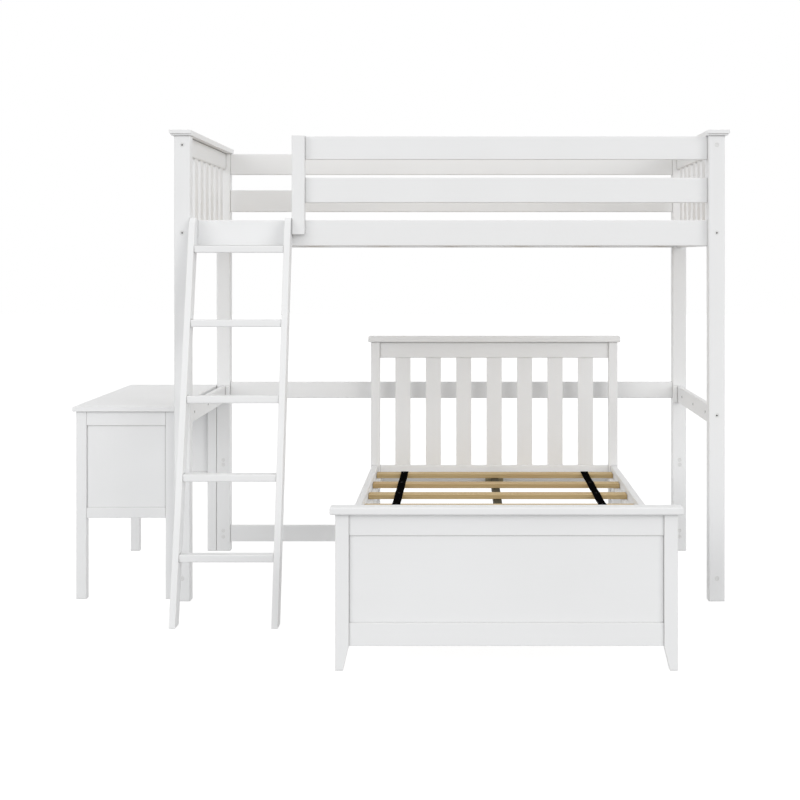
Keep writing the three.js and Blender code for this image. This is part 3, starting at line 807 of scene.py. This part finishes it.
def make_loft_slats():
    """The loft's slats and straps, each as its own piece."""
    low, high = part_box("loft_slat_roll")
    pitch = (high.x - low.x - SLAT_WIDTH) / (LOFT_SLATS - 1)
    edges = [low.x + index * pitch for index in range(LOFT_SLATS)]
    spans = [(edge, edge + SLAT_WIDTH) for edge in edges]
    top = low.z + SLAT_THICKNESS
    for index, (near, far) in enumerate(spans):
        mesh = board_mesh(Vector((near, low.y, low.z)), Vector((far, high.y, top)), "y", SLAT_ROUND)
        name = f"loft_slat_{index + 1}"
        add_piece(name, mesh, "loft", [FINISHES["pine_y"]], ["loft_slat_roll"])
    centre = (low.y + high.y) / 2
    middles = [centre - STRAP_SPREAD / 2, centre + STRAP_SPREAD / 2]
    for side, middle in zip(("front", "back"), middles):
        mesh = strap_mesh(spans, top, middle, "x")
        finish = FINISHES["webbing_x"]
        add_piece(f"loft_strap_{side}", mesh, "loft", [finish], ["loft_slat_roll"])
    mesh = staples_mesh(spans, top, middles, "x")
    add_piece("loft_strap_staples", mesh, "loft", [FINISHES["black_steel"]])


# Fasteners


def ring_of(radius, height, corners=0):
    """A ring of points about Z. With corners it is a polygon, whose flats are a radius away."""
    points = []
    for index in range(ROUND_SIDES):
        angle = 2 * math.pi * index / ROUND_SIDES
        reach = radius
        if corners:
            sector = 2 * math.pi / corners
            reach = radius / math.cos((angle % sector) - sector / 2)
        points.append(Vector((reach * math.cos(angle), reach * math.sin(angle), height)))
    return points


def facing(place, axis):
    """A frame at a place, its Z along an axis."""
    return Matrix.Translation(place) @ Vector(axis).to_track_quat("Z", "Y").to_matrix().to_4x4()


def turned(rings, matrix):
    return [[matrix @ point for point in ring] for ring in rings]


def add_bolt(mesh, place, axis, bare):
    """A bolt's flat head with a hexagon socket, in its recess. The place is on the post's face.

    The socket is bare steel, or filled with the post's white finish.
    """
    matrix = facing(place, axis)
    floor, top = -BOLT_FLOOR, -BOLT_FLOOR + BOLT_HEIGHT
    head = [
        ring_of(BOLT_RADIUS, floor),
        ring_of(BOLT_RADIUS, top - BOLT_CHAMFER),
        ring_of(BOLT_RADIUS - BOLT_CHAMFER, top),
        ring_of(SOCKET_RADIUS, top, corners=SOCKET_SIDES),
    ]
    skin(mesh, turned(head, matrix), closed_end=False)
    socket = [ring_of(SOCKET_RADIUS, top - drop, corners=SOCKET_SIDES) for drop in (0, SOCKET_DEPTH)]
    skin(mesh, turned(socket, matrix), material=1 if bare else 0, closed_start=False)


def middle_height(node):
    low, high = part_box(node)
    return (low.z + high.z) / 2


def front_bolts(side, post_top):
    """The heights of the bolts in a front post's front face, and whether each socket is bare."""
    tie = middle_height(f"end_tie_rail_{side}") + TIE_BOLT_RISE
    rail = middle_height("loft_side_rail_front")
    top = post_top - TOP_BOLT_DROP
    return [(LOW_BOLT, False), (tie, True), (rail, True), (top, side == "left")]


def back_bolts():
    """The heights of the bolts in a back post's front face, which come in pairs."""
    pairs = (
        (middle_height("back_tie_rail_lower"), TIE_BOLT_SPREAD),
        (SPARE_BOLT_HEIGHT, SPARE_BOLT_SPREAD),
    )
    return [(middle + sign * spread / 2, False) for middle, spread in pairs for sign in (-1, 1)]


def joined_boards(side, face):
    """The boards that a bolt through the post's outer face holds. The ladder's opening has none."""
    boards = [f"loft_side_rail_{face}"]
    if (face, side) != ("front", "left"):
        boards += [f"guard_board_{face}_upper", f"guard_board_{face}_lower"]
    if face == "back":
        boards += ["back_tie_rail_upper", "back_tie_rail_lower"]
    return boards


def bolt_places(side, face):
    """The bolts of one loft post: each one's place, its outward direction and if it is bare."""
    low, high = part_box(f"loft_post_{face}_{side}")
    x = (low.x + high.x) / 2
    bolts = front_bolts(side, high.z) if face == "front" else back_bolts()
    places = [(Vector((x, low.y, height)), (0, -1, 0), bare) for height, bare in bolts]
    board_low, board_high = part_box(f"guard_board_{face}_upper")
    y = (board_low.y + board_high.y) / 2
    outer, outward = (low.x, -1) if side == "left" else (high.x, 1)
    for board in joined_boards(side, face):
        places.append((Vector((outer, y, middle_height(board))), (outward, 0, 0), True))
    return places


def make_bolts():
    finishes = [FINISHES["enamel"], FINISHES["black_steel"]]
    for side in ("left", "right"):
        for face in ("front", "back"):
            mesh = bmesh.new()
            for bolt in bolt_places(side, face):
                add_bolt(mesh, *bolt)
            add_piece(f"bolts_{face}_{side}", mesh, "loft", finishes)


def make_inserts():
    """Black threaded inserts in the end tie rails' inner faces."""
    rings = [
        ring_of(INSERT_RADIUS, -INSERT_DEPTH),
        ring_of(INSERT_RADIUS, -INSERT_LIP_DROP),
        ring_of(INSERT_RADIUS - INSERT_WALL / 2, INSERT_LIP),
        ring_of(INSERT_RADIUS - INSERT_WALL, -INSERT_LIP_DROP),
        ring_of(INSERT_RADIUS - INSERT_WALL, -INSERT_DEPTH + INSERT_WALL),
    ]
    for side in ("left", "right"):
        low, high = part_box(f"end_tie_rail_{side}")
        face, inward = (high.x, 1) if side == "left" else (low.x, -1)
        middle = (low + high) / 2
        mesh = bmesh.new()
        for index in (-1, 0, 1):
            place = Vector((face, middle.y + index * INSERT_PITCH, middle.z))
            skin(mesh, turned(rings, facing(place, (inward, 0, 0))))
        add_piece(f"tie_rail_inserts_{side}", mesh, "loft", [FINISHES["black_steel"]])


def make_screw_covers():
    """Domed covers over the screws that hold the ladder's rungs, on the stiles' outer faces."""
    rings = [ring_of(COVER_RADIUS, 0)]
    for step in range(1, COVER_STEPS):
        tilt = step / COVER_STEPS * math.pi / 2
        rings.append(ring_of(COVER_RADIUS * math.cos(tilt), COVER_HEIGHT * math.sin(tilt)))
    for side in ("left", "right"):
        low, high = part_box(f"ladder_stile_{side}")
        face, outward = (low.x, -1) if side == "left" else (high.x, 1)
        mesh = bmesh.new()
        for index in range(count_nodes("ladder_rung_")):
            rung_low, rung_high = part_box(f"ladder_rung_{index + 1}")
            middle = (rung_low + rung_high) / 2
            for sign in (-1, 1):
                place = Vector((face, middle.y + sign * COVER_SPREAD / 2, middle.z))
                skin(mesh, turned(rings, facing(place, (outward, 0, 0))))
        finish = FINISHES["paint_x"]
        add_piece(f"ladder_screw_covers_{side}", mesh, "loft", [finish])


make_camera()
make_world()
make_floor()
make_lamp("right_lamp", RIGHT_LAMP)
make_lamp("left_lamp", LEFT_LAMP)
dress_nodes()
make_lower_straps()
make_loft_slats()
make_bolts()
make_inserts()
make_screw_covers()

scene.view_settings.view_transform = "Standard"
